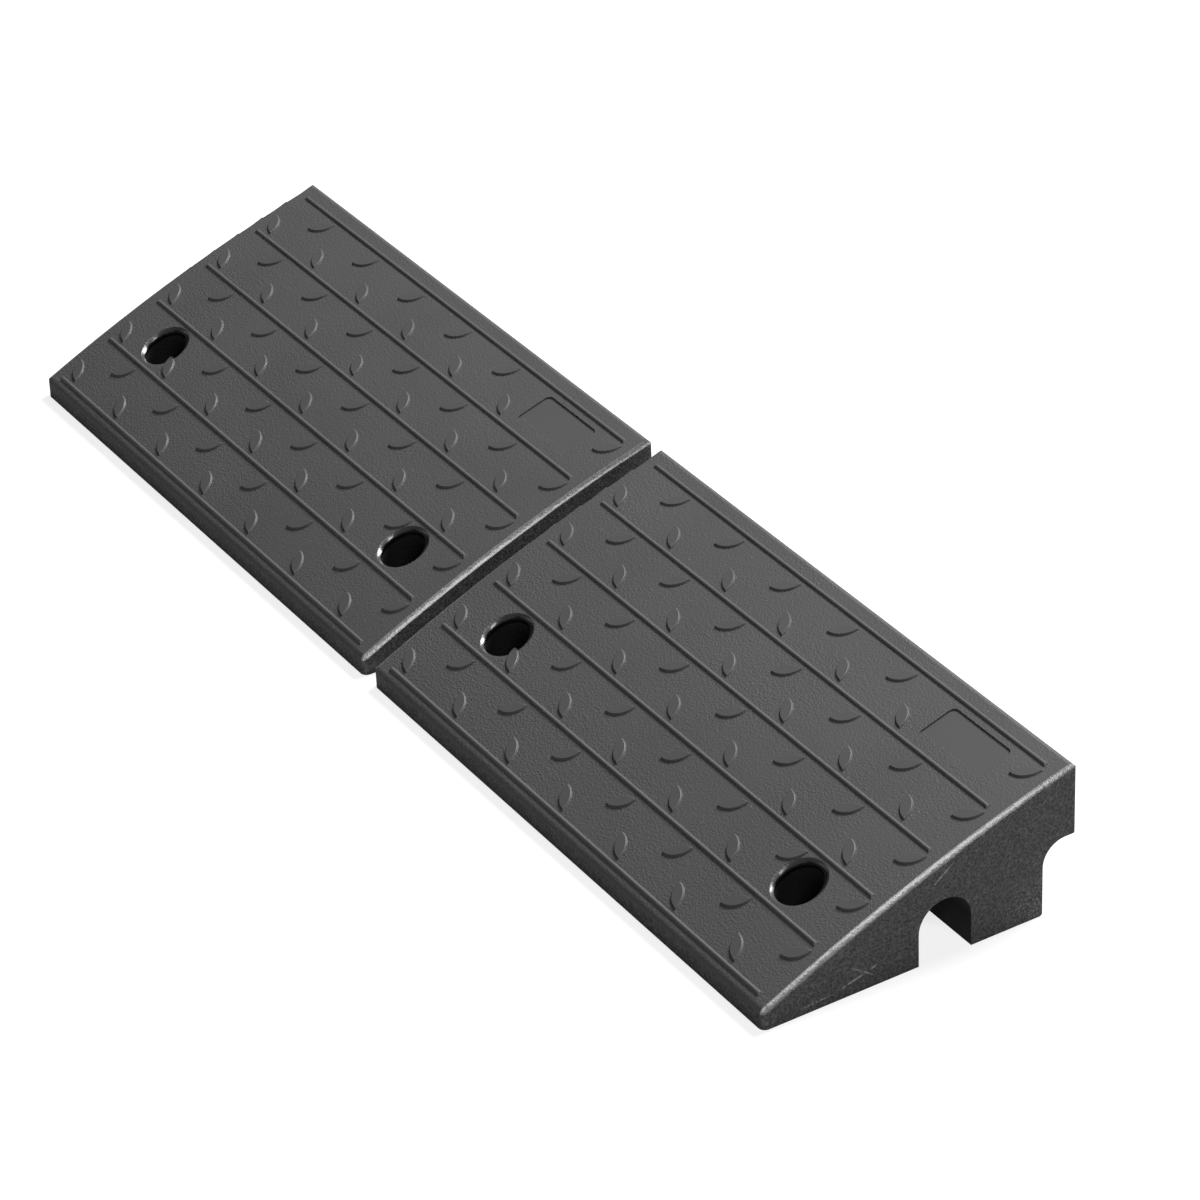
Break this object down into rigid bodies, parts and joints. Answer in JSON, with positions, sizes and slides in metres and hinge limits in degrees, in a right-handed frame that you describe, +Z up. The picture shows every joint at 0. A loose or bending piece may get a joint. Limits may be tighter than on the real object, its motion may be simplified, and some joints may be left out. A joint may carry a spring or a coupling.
{
  "type": "kerb ramp",
  "caption": "Pair of solid rubber kerb ramps laid end to end, each with a crowned chequered tread, cross ribs, sunk bolt holes, a drain arch underneath and an overhang at the kerb.",
  "frame": {"origin": "on the ground, under the middle of the pair", "axes": "+X along the kerb to the right as seen from the road, +Y from the road to the kerb, +Z up"},
  "size_m": [1.014, 0.25, 0.1107],
  "materials": {
    "rubber": "matt black moulded rubber, leather-grained on the tread and granular on the ends and underneath"
  },
  "bodies": {
    "root": {"ramp_right": "rubber", "ramp_left": "rubber"}
  },
  "joints": []
}
